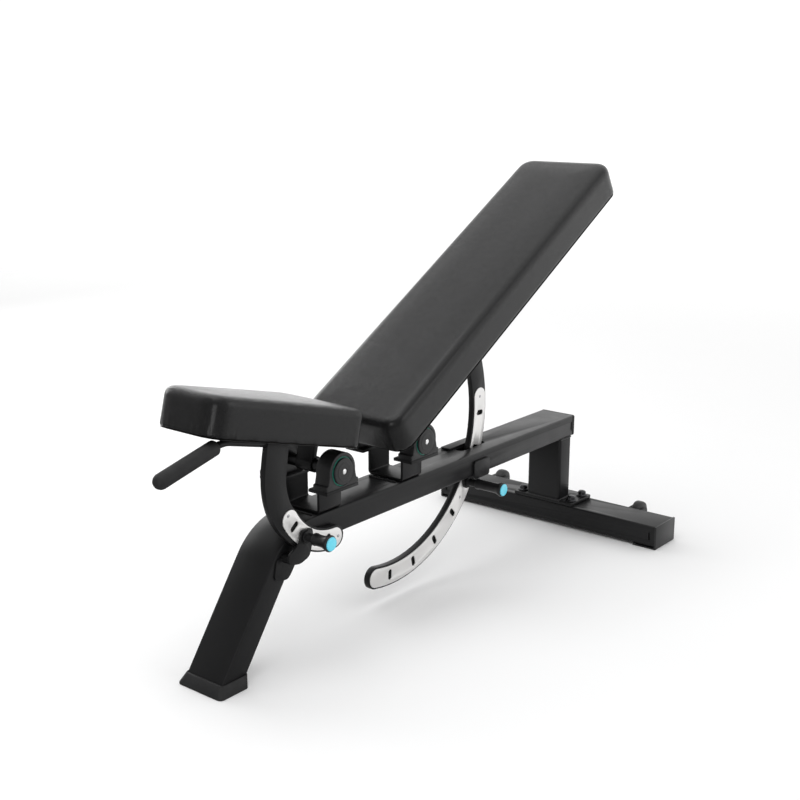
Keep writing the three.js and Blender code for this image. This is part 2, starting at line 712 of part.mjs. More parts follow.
const SEAT_LATCH = { sleeve: 34, skirt: 26, turns: 2 };
const BACK_LATCH = { sleeve: 68, skirt: 30, turns: 6 };

function pinPlace(axleY, ladder) {
  const [y, z] = polar(ladder.radius, ladder.rest);
  return [ladder.x + ladder.thick + GAP + SCALE.thick, axleY + y, AXLE.z + z];
}

const seatPin = pinPlace(AXLE.seatY, SEAT_LADDER);
const backPin = pinPlace(AXLE.backY, BACK_LADDER);
const BRACKET_SIDE = { from: TUBE.wide / 2 + GAP, thick: 3.2 };

// The seat latch bracket: a foot on the side of the leg, and an arm outside the ladder.
function seatLatchBracket() {
  const [face, y, z] = seatPin;
  const side = BRACKET_SIDE.from;
  const ear = earFace.map((x) => face + x);
  const foot = roundedPolygon([
    [y - 58, z - 34, 6], [y - 66, z - 72, 10], [y - 30, z - 80, 10], [y - 8, z - 52, 8], [y - 20, z - 34, 6],
  ]);
  const web = roundedPolygon([
    [y - 46, z - 28, 4], [y - 46, z - 42, 4], [y - 22, z - 44, 4], [y - 24, z - 28, 4],
  ]);
  const arm = roundedPolygon([
    [y - 16, z - 6, 5], [y - 46, z - 24, 5], [y - 48, z - 42, 8], [y - 18, z - 48, 8], [y + 7, z - 40, 8],
    [y + 17, z - 8, 5], [y + 16, z + 14, 9], [y - 14, z + 15, 9],
  ]);
  return alongX(foot, side, side + BRACKET_SIDE.thick, { segments: 3 })
    .add(alongX(web, side + 1, ear[1], { segments: 3 }))
    .add(alongX(arm, ...ear, { segments: 3 }))
    .subtract(alongX(disc(y, z, LATCH.tip + GAP), ear[0] - 2, ear[1] + 2, { segments: 6 }));
}

// The back latch bracket: a plate on the side of the beam that turns under it, and an ear down to
// the pin.
function backLatchBracket() {
  const [face, y, z] = backPin;
  const side = BRACKET_SIDE.from;
  const under = BEAM.top - TUBE.deep - GAP;
  const ear = earFace.map((x) => face + x);
  const span = [y - 28, y + 29];
  const cheek = alongX(roundedRect(span, [under - 6, under + 34], 6), side, side + 4, { segments: 3 });
  const shelf = box([ear[0], side + 2], [span[0] + 4, span[1] - 4], [under - 6, under]);
  const tongue = roundedPolygon([
    [y - 22, under - 2, 3], [y - 14, z - 14, 11], [y + 14, z - 14, 11], [y + 22, under - 2, 3],
  ]);
  return cheek
    .add(shelf)
    .add(alongX(tongue, ...ear, { segments: 4 }))
    .subtract(alongX(disc(y, z, LATCH.tip + GAP), ear[0] - 2, ear[1] + 2, { segments: 6 }));
}

// ---------- assembly ----------
function addFrame() {
  add("main_beam", mainBeam(), POWDER_COAT);
  add("front_boot", frontBoot(), RUBBER);
  add("beam_end_cap", beamEndCap(), PLASTIC);
  add("rear_post", rearPost(), POWDER_COAT);
  add("crossbar", crossbar(), POWDER_COAT);
  add("crossbar_plate", crossbarPlate(), POWDER_COAT);
  boltPlaces().forEach((place, i) => add(`crossbar_bolt_${i + 1}`, flangeBolt(place), ZINC));
  for (const [name, side] of [["left", -1], ["right", 1]]) {
    const x = side * WHEEL.x;
    add(`crossbar_foot_${name}`, crossbarFoot(side), PLASTIC);
    add(`wheel_fork_${name}`, wheelFork(x), POWDER_COAT);
    add(`wheel_bolt_${name}`, wheelBolt(x), ZINC);
    add(`wheel_${name}`, wheel(x), RUBBER);
  }
  const guide = roundedRect([GUIDE.outer, GUIDE.inner], [GUIDE.front, GUIDE.rear], 3);
  const floor = BEAM.top + GAP;
  add("slot_guide", alongZ(guide, floor, floor + GUIDE.thick, { round: 0.8, segments: 2 }), PLASTIC);
}

function addAxleSupports(name, axleY) {
  add(`${name}_bracket`, axleBracket(axleY), POWDER_COAT);
  for (const [hand, side] of [["left", -1], ["right", 1]]) {
    add(`${name}_pillow_block_${hand}`, pillowBlock(axleY, side), PLASTIC);
    add(`${name}_seal_ring_${hand}`, sealRing(axleY, side), SEAL_GREEN);
  }
}

// Two groups on an axle: one as it stands, and one turned with the cushion.
function addPivot(name, axleY, turn) {
  const pivot = new THREE.Group();
  pivot.position.set(0, axleY, AXLE.z);
  const turned = new THREE.Group();
  turned.rotation.x = turn;
  pivot.add(turned);
  bench.add(pivot);
  add(`${name}_axle`, axle(), ZINC, pivot);
  add(`${name}_axle_cap_left`, hubCap(-1), PLASTIC, pivot);
  add(`${name}_axle_cap_right`, hubCap(1), PLASTIC, pivot);
  return { pivot, turned };
}

function addSeat() {
  const { pivot, turned } = addPivot("seat", AXLE.seatY, -SEAT.tilt);
  add("seat_pad", seatPad(), LEATHER, turned);
  add("seat_board", seatBoard(), PLYWOOD, turned);
  add("seat_frame", seatFrame(), POWDER_COAT, turned);
  add("seat_handle_bar", handleBar(), POWDER_COAT, turned);
  add("seat_handle_grip", handleGrip(), RUBBER, turned);
  add("seat_ladder", seatLadder(), POWDER_COAT, pivot);
  add("seat_scale_plate", scalePlate(SEAT_LADDER, SEAT_STEPS, rad(-150), rad(-89), 8), STEEL, pivot);
}

function addBack() {
  const { pivot, turned } = addPivot("back", AXLE.backY, BACK.recline);
  add("back_pad", backPad(), LEATHER, turned);
  add("back_board", backBoard(), PLYWOOD, turned);
  add("back_frame", backFrame(), POWDER_COAT, turned);
  add("back_ladder", backLadder(), POWDER_COAT, pivot);
  add("back_scale_plate", scalePlate(BACK_LADDER, BACK_STEPS, BACK_LADDER.end, rad(4), 16), STEEL, pivot);
}

function addLatch(name, place, latch, bracket) {
  const group = new THREE.Group();
  group.position.set(...place);
  bench.add(group);
  add(`${name}_latch_bracket`, bracket, POWDER_COAT);
  add(`${name}_latch_sleeve`, sleeve(latch.sleeve), ZINC, group);
  add(`${name}_latch_spring`, latchSpring(latch.sleeve, latch.turns), STEEL, group);
  add(`${name}_pin_rod`, pinRod(latch.sleeve), STEEL, group);
  add(`${name}_pin_knob`, knob(latch.sleeve, latch.skirt), PLASTIC, group);
  add(`${name}_pin_cap`, knobCap(latch.sleeve), KNOB_BLUE, group);
}

addFrame();
addAxleSupports("seat", AXLE.seatY);
addAxleSupports("back", AXLE.backY);
addSeat();
addBack();
addLatch("seat", seatPin, SEAT_LATCH, seatLatchBracket());
addLatch("back", backPin, BACK_LATCH, backLatchBracket());

const root = new THREE.Group();
root.add(bench);
export default root;
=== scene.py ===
"""Adjustable weight bench: looks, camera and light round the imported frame. Metres, +Z up."""

import json
import math

import bmesh
import bpy
import numpy as np
from mathutils import Matrix, Vector, noise


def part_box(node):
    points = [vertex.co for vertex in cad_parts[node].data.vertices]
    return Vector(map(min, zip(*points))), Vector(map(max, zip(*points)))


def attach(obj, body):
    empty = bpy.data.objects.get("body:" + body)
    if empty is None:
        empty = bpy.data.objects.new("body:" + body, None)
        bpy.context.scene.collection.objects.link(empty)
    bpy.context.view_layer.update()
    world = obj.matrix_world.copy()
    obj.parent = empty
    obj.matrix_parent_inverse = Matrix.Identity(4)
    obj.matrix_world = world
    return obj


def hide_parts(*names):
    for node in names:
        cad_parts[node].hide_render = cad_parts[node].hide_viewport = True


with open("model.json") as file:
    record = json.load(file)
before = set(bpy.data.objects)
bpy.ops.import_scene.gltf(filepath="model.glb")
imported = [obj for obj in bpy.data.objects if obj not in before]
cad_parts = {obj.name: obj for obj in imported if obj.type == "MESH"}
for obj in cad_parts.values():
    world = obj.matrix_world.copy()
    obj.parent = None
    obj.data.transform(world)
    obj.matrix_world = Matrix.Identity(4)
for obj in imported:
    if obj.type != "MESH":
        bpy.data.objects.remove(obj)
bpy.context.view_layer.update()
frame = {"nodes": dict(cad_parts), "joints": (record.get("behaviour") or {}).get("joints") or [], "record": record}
NODES = frame["nodes"]

# ---------- driving dimensions ----------
PIVOT = {j["child"]: Vector(j["pos_m"]) for j in frame["joints"] if j["type"] == "hinge"}
TILT = {"seat": math.radians(-14.5), "back": math.radians(30)}  # of the cushions, from level

# The cushions
VOXEL = 0.005  # cell of their remesh
COVER_SHRINK = 0.0005  # taken off all round before they swell
CLOTH_FRAMES = 20
SWELL_OUT = 0.003  # farthest that their surface moves outwards
SWELL_IN = 0.0002  # and inwards
SWELL_EVEN = 40  # rounds of evening out between neighbouring points
CROWN = 0.0015  # added to the height of the middle
CROWN_RISE = (0.012, 0.085)  # distances from the outline between which the crown rises
PLEAT_DEEP = 0.0007  # of the folds at the corners
PLEAT_WIDE = 0.02  # how far in from the outline the folds reach
PLEAT_RATE = 150.0  # angle of the folds' wave for each radian round the cushion
COVER_HIGH = 0.004  # farthest that the cover stands above the plain pad
COVER_PROUD = 0.002  # and past its outline
BOARD_GAP = 0.0003  # round a board in its pocket

# The cover folded under each board
HEM_WIDE = 0.02
HEM_INSET = 0.0018  # from the pad's outline
HEM_STEP = 0.004  # between points along the edge
HEM_PROFILE = [  # share of the width, and height from the underside
    (0.0, -0.0003), (0.0, -0.0011), (0.35, -0.0015), (0.94, -0.0013), (1.0, -0.0007), (1.0, -0.0003),
]
STAPLE_SIZE = (0.0105, 0.0012, 0.0006)
STAPLE_STEP = 0.024
STAPLE_ROW = 0.62  # place across the hem, as a share of its width
STAPLE_TURN = 0.9  # radians from the edge's direction
STAPLE_DROP = 0.0017  # under the pad's underside

# Small hardware
RIVETS = {  # radius of the ladder's middle, and angles round the axle in degrees
    "seat": (0.136, (-154.5, -85.5)),
    "back": (0.302, (4.0, -40.5)),
}
RIVET_HEAD = (0.0034, 0.0014)  # radius and height
SCREW_HEAD = (0.0075, 0.0042, 0.0028)  # radius, height and the socket's radius
SCREW_COUNT = 4
SCREW_SPAN = (0.048, 0.47)  # first and last screw, along the backrest from its axle
SCREW_LEVEL = 0.0169  # over the axle, just under the backrest's steel frame
SOCKET_DEPTH = 0.45  # height of a socket's floor, as a share of the head's height
AXLE_SINK = 0.0003  # of the axle's bright centre and washer into the end disc
# Profiles of the centre and the washer, each point along the axle and out from it
AXLE_CENTRE = [(0, 0), (0, 0.0052), (0.0008, 0.0052), (0.0013, 0.0046), (0.0016, 0.003), (0.0017, 0)]
AXLE_WASHER = [
    (0, 0), (0, 0.0175), (0.0004, 0.0178), (0.0009, 0.0172),
    (0.0009, 0.0078), (0.0002, 0.0068), (0.0002, 0),
]
BEAD_SIDES = 8
BEAD_STEP = 0.0022  # along a weld bead
POST_FOOT_BEAD = 0.0026  # radii of the beads
POST_TOP_BEAD = 0.0022
BRACKET_BEAD = 0.0020
BEAD_RISE = 0.0006  # of a bead's middle from the face that it lies on
POST_FOOT_RISE = 0.0008
POST_FOOT_OUT = 0.0004  # from the post's sides
POST_TOP_IN = 0.97  # place of the upper beads, as a share of the way out to the post's sides
BRACKET_BEAD_HALF = 0.036
BRACKET_BEAD_AT = {"front": 0.013, "rear": 0.0755}  # from the bracket's front end

# Floor, sky, lights and camera
FLOOR_HALF = 8.0
FLOOR_DROP = 0.0004  # under the soles
FLOOR_FADE = (1.6, 6.5)  # metres from the middle over which the floor turns into the background
FLOOR_DIM = (-0.8, 0.6)  # along Y, where reflections of the floor go from dim to full
SKY_BRIGHT = 1.16
SKY_DIM = 0.30
SKY_FRONT = (-0.35, 0.75)  # the sky's Y direction from dim to bright
SKY_HIGH = (0.55, 1.0)  # the same for its height
LIGHTS = {  # place, target, width and height, watts
    "overhead": ((-0.5, -0.8, 3.3), (0, 0.1, 0.3), (2.6, 2.2), 30.0),
    "left": ((-3.2, 0.2, 1.5), (0, 0.1, 0.1), (2.6, 1.6), 34.0),
    "right": ((3.2, 0.9, 1.5), (0, 0, 0.4), (1.6, 1.6), 8.0),
    "front_strip": ((1.0, -2.6, 0.6), (0, -0.2, 0.35), (0.9, 1.4), 11.0),
}
CAMERA_PLACE = (1.5230, -1.9018, 1.0500)
CAMERA_TURN = (math.radians(75.553), 0.0, math.radians(38.805))
CAMERA_LENS = 55.07


# ---------- node helpers ----------
class NodeTree:
    """Short ways to add nodes to a node tree."""

    def __init__(self, tree):
        self.tree = tree

    def add(self, kind, **settings):
        node = self.tree.nodes.new(kind)
        for key, value in settings.items():
            setattr(node, key, value)
        return node

    def link(self, source, target):
        self.tree.links.new(source, target)

    def math(self, operation, a, b, clamp=False):
        node = self.add("ShaderNodeMath", operation=operation, use_clamp=clamp)
        for socket, value in zip(node.inputs, (a, b)):
            if isinstance(value, (int, float)):
                socket.default_value = value
            else:
                self.link(value, socket)
        return node.outputs[0]

    def ramp(self, value, low, high, start=0.0, end=1.0, shape="LINEAR"):
        """value mapped from start..end to low..high."""
        node = self.add("ShaderNodeMapRange", interpolation_type=shape)
        self.link(value, node.inputs["Value"])
        node.inputs["From Min"].default_value = start
        node.inputs["From Max"].default_value = end
        node.inputs["To Min"].default_value = low
        node.inputs["To Max"].default_value = high
        return node.outputs["Result"]


class Shader(NodeTree):
    """A material's node tree with one Principled shader."""

    def __init__(self, name, colour, roughness, metallic=0.0, specular=0.5):
        self.material = bpy.data.materials.new(name)
        self.material.use_nodes = True
        super().__init__(self.material.node_tree)
        self.bsdf = self.tree.nodes["Principled BSDF"]
        self.set("Base Color", (*colour, 1.0))
        self.set("Roughness", roughness)
        self.set("Metallic", metallic)
        self.set("Specular IOR Level", specular)
        self.coords = self.add("ShaderNodeTexCoord").outputs["Object"]
        self.normal = None

    def set(self, socket, value):
        self.bsdf.inputs[socket].default_value = value

    def stretched(self, scale):
        """Object coordinates scaled by a different factor along each axis."""
        mapping = self.add("ShaderNodeMapping")
        self.link(self.coords, mapping.inputs["Vector"])
        mapping.inputs["Scale"].default_value = scale
        return mapping.outputs["Vector"]

    def noise(self, scale, detail=3.0, roughness=0.55, coords=None):
        node = self.add("ShaderNodeTexNoise")
        self.link(coords or self.coords, node.inputs["Vector"])
        node.inputs["Scale"].default_value = scale
        node.inputs["Detail"].default_value = detail
        node.inputs["Roughness"].default_value = roughness
        return node.outputs["Fac"]

    def voronoi(self, scale, feature="F1", coords=None):
        node = self.add("ShaderNodeTexVoronoi", feature=feature)
        self.link(coords or self.coords, node.inputs["Vector"])
        node.inputs["Scale"].default_value = scale
        return node.outputs["Distance"]

    def mix(self, factor, a, b):
        """Colour a to colour b by factor."""
        node = self.add("ShaderNodeMix", data_type="RGBA")
        self.link(factor, node.inputs["Factor"])
        for socket, value in zip((node.inputs["A"], node.inputs["B"]), (a, b)):
            if isinstance(value, tuple):
                socket.default_value = (*value, 1.0)
            else:
                self.link(value, socket)
        return node.outputs["Result"]

    def bump(self, height, distance, strength=1.0):
        """Adds a bump on top of the ones before it."""
        node = self.add("ShaderNodeBump")
        self.link(height, node.inputs["Height"])
        node.inputs["Distance"].default_value = distance
        node.inputs["Strength"].default_value = strength
        if self.normal:
            self.link(self.normal, node.inputs["Normal"])
        self.normal = node.outputs["Normal"]

    def edges(self, radius, gain):
        """1 on convex and concave edges within radius, 0 on open faces."""
        rounded = self.add("ShaderNodeBevel", samples=6)
        rounded.inputs["Radius"].default_value = radius
        plain = self.add("ShaderNodeNewGeometry")
        dot = self.add("ShaderNodeVectorMath", operation="DOT_PRODUCT")
        self.link(rounded.outputs["Normal"], dot.inputs[0])
        self.link(plain.outputs["Normal"], dot.inputs[1])
        turned = self.math("SUBTRACT", 1.0, dot.outputs["Value"])
        return self.math("MULTIPLY", turned, gain, clamp=True)

    def finish(self, colour=None, roughness=None):
        sources = {"Base Color": colour, "Roughness": roughness, "Normal": self.normal}
        for socket, source in sources.items():
            if source is not None:
                self.link(source, self.bsdf.inputs[socket])
        return self.material


# ---------- materials ----------
def powder_coat():
    """Black satin powder coat: orange peel, faint mottling, slightly polished edges that are also painted lighter,
    partly as wear and partly as a painted highlight.
    """
    dark, light, wear_and_sheen_grey = 0.0085, 0.0125, 0.035
    s = Shader("powder_coat", (dark, dark, dark), 0.34, specular=0.22)
    s.bump(s.noise(420.0, 2.0), 0.00014, 0.5)
    s.bump(s.noise(1900.0, 2.0), 0.00004, 0.5)
    mottled = s.mix(s.noise(9.0, 5.0), (dark, dark, dark * 1.06), (light, light, light * 1.05))
    patches = s.ramp(s.noise(38.0, 6.0), 0.0, 1.0, 0.42, 0.62)
    # Lighter grey in patches along convex and concave edges: partly rubbed wear, partly a painted highlight along
    # the edges.
    scuff_and_sheen = s.math("MULTIPLY", s.edges(0.0016, 5.0), patches, clamp=True)
    colour = s.mix(scuff_and_sheen, mottled, (wear_and_sheen_grey, wear_and_sheen_grey, wear_and_sheen_grey * 1.04))
    rough = s.ramp(s.noise(26.0, 4.0), 0.31, 0.37, 0.3, 0.7)
    rough = s.math("SUBTRACT", rough, s.math("MULTIPLY", scuff_and_sheen, 0.08))
    return s.finish(colour, rough)


def leather():
    """Black upholstery vinyl: pebbled grain with fine creases, painted darker in the creases as painted shade,
    under a thin clear finish.
    """
    s = Shader("black_upholstery", (0.009, 0.009, 0.0095), 0.22, specular=0.16)
    s.set("Coat Weight", 0.5)
    s.set("Coat Roughness", 0.2)
    s.set("Coat IOR", 1.36)
    warp = s.add("ShaderNodeVectorMath", operation="MULTIPLY_ADD")
    swirl = s.add("ShaderNodeTexNoise")
    s.link(s.coords, swirl.inputs["Vector"])
    swirl.inputs["Scale"].default_value = 90.0
    s.link(swirl.outputs["Color"], warp.inputs[0])
    warp.inputs[1].default_value = (0.0016, 0.0016, 0.0016)
    s.link(s.coords, warp.inputs[2])
    pebble = s.voronoi(520.0, "SMOOTH_F1", warp.outputs["Vector"])
    crease = s.voronoi(430.0, "DISTANCE_TO_EDGE", warp.outputs["Vector"])
    crease_and_shade = s.ramp(crease, 0.0, 1.0, 0.0, 0.13)
    s.bump(s.noise(34.0, 3.0), 0.0002, 0.25)
    s.bump(s.math("SUBTRACT", crease_and_shade, pebble), 0.00022, 0.7)
    s.bump(s.noise(2600.0, 2.0), 0.00001, 0.5)
    base = s.mix(s.noise(12.0, 5.0), (0.0075, 0.0075, 0.0078), (0.0115, 0.0115, 0.0118))
    # Painted shade: the creases are painted darker than the grain round them.
    colour = s.mix(crease_and_shade, (0.004, 0.004, 0.0042), base)
    rough = s.math("ADD", s.ramp(s.noise(18.0, 4.0), 0.18, 0.23, 0.3, 0.7), s.ramp(crease_and_shade, 0.08, 0.0))
    return s.finish(colour, rough)


def plywood():
    """Black-stained plywood: long grain along Y, thin layers on its edges."""
    s = Shader("stained_plywood", (0.02, 0.017, 0.015), 0.62, specular=0.3)
    along = s.stretched((60.0, 4.0, 60.0))
    grain = s.noise(5.0, 8.0, 0.65, along)
    layers = s.add("ShaderNodeTexWave", wave_type="BANDS", bands_direction="Z")
    s.link(s.coords, layers.inputs["Vector"])
    layers.inputs["Scale"].default_value = 110.0
    layers.inputs["Distortion"].default_value = 1.2
    s.bump(grain, 0.0004, 0.5)
    colour = s.mix(grain, (0.010, 0.009, 0.008), (0.034, 0.029, 0.025))
    lined = s.mix(s.math("MULTIPLY", layers.outputs["Fac"], 0.25), colour, (0.045, 0.037, 0.03))
    return s.finish(lined, s.ramp(grain, 0.55, 0.75))


def plastic(name, colour, roughness, specular=0.4):
    """Moulded plastic: fine spark texture, faint flow marks, and a painted highlight that lightens its edges."""
    s = Shader(name, colour, roughness, specular=specular)
    s.bump(s.noise(650.0, 3.0), 0.0001, 0.6)
    s.bump(s.noise(22.0, 2.0), 0.0005, 0.25)
    edge_highlight_colour = tuple(min(1.0, c * 1.7 + 0.004) for c in colour)
    tone = s.mix(s.noise(14.0, 4.0), colour, tuple(c * 1.25 for c in colour))
    # Painted highlight: the colour turns lighter within the radius of every edge, convex and concave.
    edge = s.math("MULTIPLY", s.edges(0.0012, 3.5), 0.55)
    rough = s.ramp(s.noise(30.0, 3.0), roughness - 0.05, roughness + 0.06)
    return s.finish(s.mix(edge, tone, edge_highlight_colour), rough)


def rubber(name):
    """Matte rubber with a dusty, slightly pitted skin."""
    s = Shader(name, (0.014, 0.014, 0.0145), 0.62, specular=0.3)
    s.bump(s.noise(900.0, 3.0), 0.00015, 0.7)
    s.bump(s.voronoi(240.0), 0.0002, 0.25)
    colour = s.mix(s.noise(20.0, 5.0), (0.011, 0.011, 0.0115), (0.022, 0.022, 0.0225))
    return s.finish(colour, s.ramp(s.noise(45.0, 4.0), 0.52, 0.72, 0.3, 0.7))


def steel(name, colour, roughness, brushed=(1.0, 1.0, 1.0), scale=260.0):
    """Metal with fine scratches, drawn out along the axis for which brushed has a small number."""
    s = Shader(name, colour, roughness, metallic=1.0)
    scratches = s.noise(scale, 4.0, 0.6, s.stretched(brushed))
    s.bump(scratches, 0.00004, 0.5)
    dull = tuple(c * 0.82 for c in colour)
    tone = s.mix(s.noise(16.0, 4.0), colour, dull)
    return s.finish(tone, s.ramp(scratches, roughness - 0.06, roughness + 0.09, 0.3, 0.7))


def scale_steel():
    """Bright, slightly warm stainless of the scale plates, brushed along Y, with painted shade that darkens its
    edges.
    """
    s = Shader("bright_scale_steel", (0.93, 0.92, 0.90), 0.34, metallic=0.55, specular=0.6)
    scratches = s.noise(900.0, 5.0, 0.65, s.stretched((1.0, 0.05, 1.0)))
    s.bump(scratches, 0.00003, 0.6)
    tone = s.mix(s.noise(11.0, 4.0), (0.95, 0.94, 0.925), (0.86, 0.85, 0.84))
    # Painted shade: the edges, slot walls included, are painted darker.
    edge = s.edges(0.0009, 4.0)
    return s.finish(s.mix(edge, tone, (0.35, 0.35, 0.35)), s.ramp(scratches, 0.28, 0.42, 0.3, 0.7))


def knob_blue():
    """Light blue plastic insert, painted dark blue along its rim as painted shade, under a clear coat."""
    s = Shader("light_blue_insert", (0.09, 0.70, 0.90), 0.22, specular=0.6)
    s.set("Coat Weight", 0.6)
    s.set("Coat Roughness", 0.12)
    s.bump(s.noise(300.0, 2.0), 0.00008, 0.3)
    tone = s.mix(s.noise(60.0, 3.0), (0.08, 0.68, 0.90), (0.20, 0.82, 0.97))
    # Painted shade: the colour turns dark blue along the rim's edges.
    rim = s.math("MULTIPLY", s.edges(0.0034, 5.0), 0.95)
    return s.finish(s.mix(rim, tone, (0.01, 0.16, 0.30)), s.ramp(s.noise(40.0), 0.2, 0.3))


def floor_paint():
    """Pale studio floor that fades into the background, and is dim in reflections towards the front."""
    s = Shader("pale_floor", (0.93, 0.93, 0.93), 0.7, specular=0.1)
    pale = s.mix(s.noise(1.6, 3.0), (0.925, 0.925, 0.927), (0.942, 0.942, 0.942))
    path = s.add("ShaderNodeLightPath")
    place = s.add("ShaderNodeSeparateXYZ")
    s.link(s.coords, place.inputs["Vector"])
    near = s.ramp(place.outputs["Y"], 0.85, 0.0, *FLOOR_DIM)
    front = s.math("MULTIPLY", near, path.outputs["Is Glossy Ray"])
    s.finish(s.mix(front, pale, (0.05, 0.05, 0.05)))
    away = s.add("ShaderNodeVectorMath", operation="LENGTH")
    s.link(s.coords, away.inputs[0])
    clear = s.add("ShaderNodeBsdfTransparent")
    fade = s.add("ShaderNodeMixShader")
    s.link(s.ramp(away.outputs["Value"], 0.0, 1.0, *FLOOR_FADE), fade.inputs["Fac"])
    s.link(s.bsdf.outputs["BSDF"], fade.inputs[1])
    s.link(clear.outputs["BSDF"], fade.inputs[2])
    s.link(fade.outputs["Shader"], s.tree.nodes["Material Output"].inputs["Surface"])
    return s.material


def weld_metal():
    """Painted weld bead: rougher than the coat round it."""
    s = Shader("painted_weld", (0.013, 0.013, 0.0135), 0.48, specular=0.35)
    s.bump(s.noise(700.0, 3.0), 0.0003, 0.6)
    return s.finish(s.mix(s.noise(60.0), (0.010, 0.010, 0.0105), (0.022, 0.022, 0.0225)))


def make_materials():
    return {
        "frame_paint": powder_coat(),
        "boot_rubber": rubber("boot_rubber"),
        "cap_plastic": plastic("cap_plastic", (0.013, 0.013, 0.0135), 0.40),
        "bolt_steel": steel("dark_zinc", (0.055, 0.055, 0.058), 0.32, scale=420.0),
        "housing_plastic": plastic("housing_plastic", (0.010, 0.010, 0.0105), 0.38),
        "seal_teal": plastic("seal_teal", (0.004, 0.135, 0.095), 0.34, specular=0.5),
        "wheel_plastic": plastic("wheel_plastic", (0.014, 0.014, 0.0145), 0.42),
        "axle_steel": steel("axle_steel", (0.06, 0.06, 0.062), 0.36, (0.04, 1.0, 1.0)),
        "pad_leather": leather(),
        "board_wood": plywood(),
        "grip_rubber": rubber("grip_rubber"),
        "scale_steel": scale_steel(),
        "spring_steel": steel("spring_steel", (0.55, 0.55, 0.57), 0.28),
        "knob_plastic": plastic("knob_plastic", (0.011, 0.011, 0.0115), 0.32),
        "knob_blue": knob_blue(),
        "bright_pin": steel("bright_pin", (0.95, 0.95, 0.95), 0.18),
        "weld": weld_metal(),
    }


# ---------- carried-over CAD nodes ----------
def smooth_group(angle):
    """A geometry node group that shades smooth, but for edges sharper than angle."""
    group = bpy.data.node_groups.new("smooth_by_angle", "GeometryNodeTree")
    group.interface.new_socket("Geometry", in_out="INPUT", socket_type="NodeSocketGeometry")
    group.interface.new_socket("Geometry", in_out="OUTPUT", socket_type="NodeSocketGeometry")
    enter = group.nodes.new("NodeGroupInput")
    leave = group.nodes.new("NodeGroupOutput")
    edge_angle = group.nodes.new("GeometryNodeInputMeshEdgeAngle")
    compare = group.nodes.new("FunctionNodeCompare")
    compare.data_type = "FLOAT"
    compare.operation = "LESS_EQUAL"
    compare.inputs["B"].default_value = angle
    faces = group.nodes.new("GeometryNodeSetShadeSmooth")
    faces.domain = "FACE"
    edges = group.nodes.new("GeometryNodeSetShadeSmooth")
    edges.domain = "EDGE"
    link = group.links.new
    link(enter.outputs[0], faces.inputs["Geometry"])
    link(edge_angle.outputs["Unsigned Angle"], compare.inputs["A"])
    link(faces.outputs["Geometry"], edges.inputs["Geometry"])
    link(compare.outputs["Result"], edges.inputs["Shade Smooth"])
    link(edges.outputs["Geometry"], leave.inputs[0])
    return group


def soften(obj, group, width):
    """Real rounded edges on a CAD node, by modifiers only: its own mesh stays as it is."""
    weld = obj.modifiers.new("weld", "WELD")
    weld.merge_threshold = 0.00002
    flat = obj.modifiers.new("flat_faces", "DECIMATE")
    flat.decimate_type = "DISSOLVE"
    flat.angle_limit = math.radians(0.6)
    if width:
        bevel = obj.modifiers.new("edges", "BEVEL")
        bevel.width = width
        bevel.segments = 2
        bevel.limit_method = "ANGLE"
        bevel.angle_limit = math.radians(40)
    smooth = obj.modifiers.new("smooth", "NODES")
    smooth.node_group = group


EDGE_WIDTH = {  # of the rounding, for each material slot that has one
    "frame_paint": 0.0009, "boot_rubber": 0.0016, "cap_plastic": 0.0008, "bolt_steel": 0.0006,
    "housing_plastic": 0.0009, "wheel_plastic": 0.0006, "board_wood": 0.0008, "knob_plastic": 0.0006,
    "knob_blue": 0.0004, "scale_steel": 0.0003, "seal_teal": 0.0004,
}


def dress_frame(materials):
    """Materials and rounded edges for the CAD nodes."""
    group = smooth_group(math.radians(32))
    for part in frame["record"]["subparts"]:
        obj = NODES[part["node"]]
        slot = part["material_slot"]
        obj.data.materials.clear()
        obj.data.materials.append(materials[slot])
        if slot != "pad_leather":
            soften(obj, group, EDGE_WIDTH.get(slot, 0.0))


# ---------- pieces ----------
def make_piece(name, mesh, material, body):
    """An object of one material that rides on a CAD body."""
    piece = bpy.data.objects.new(name, mesh)
    bpy.context.scene.collection.objects.link(piece)
    mesh.materials.clear()
    mesh.materials.append(material)
    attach(piece, body)
    return piece


def mesh_from(name, build, place=Matrix.Identity(4), smooth_angle=35):
    """A mesh that build(bm) fills, moved by place, smooth but for edges sharper than smooth_angle."""
    bm = bmesh.new()
    build(bm)
    bmesh.ops.recalc_face_normals(bm, faces=bm.faces)
    bm.transform(place)
    for face in bm.faces:
        face.smooth = True
    for edge in bm.edges:
        if len(edge.link_faces) == 2 and edge.calc_face_angle() > math.radians(smooth_angle):
            edge.smooth = False
    mesh = bpy.data.meshes.new(name)
    bm.to_mesh(mesh)
    bm.free()
    return mesh


def lathe(bm, profile, steps=28):
    """A solid turned about the local X axis from (along, radius) points, on the axis at both ends."""
    rings = []
    for along, radius in profile:
        if radius < 1e-7:
            rings.append([bm.verts.new((along, 0, 0))])
            continue
        turn = [2 * math.pi * i / steps for i in range(steps)]
        rings.append([bm.verts.new((along, radius * math.cos(a), radius * math.sin(a))) for a in turn])
    for low, high in zip(rings, rings[1:]):
        for i in range(steps):
            quad = [low[i % len(low)], low[(i + 1) % len(low)]]
            quad += [high[(i + 1) % len(high)], high[i % len(high)]]
            corners = list(dict.fromkeys(quad))
            if len(corners) > 2:
                bm.faces.new(corners)


def domed_head(radius, height, hollow=0.0):
    """Profile of a domed head that grows along +X from a flat face; hollow is a socket's radius."""
    steps = 6
    profile = [(0.0, 0.0), (0.0, radius)]
    for i in range(1, steps + 1):
        angle = math.pi / 2 * i / steps
        profile.append((height * math.sin(angle), max(radius * math.cos(angle), hollow)))
    if hollow:
        floor = height * SOCKET_DEPTH
        profile += [(floor, hollow * 0.96), (floor, 0.0)]
    return profile


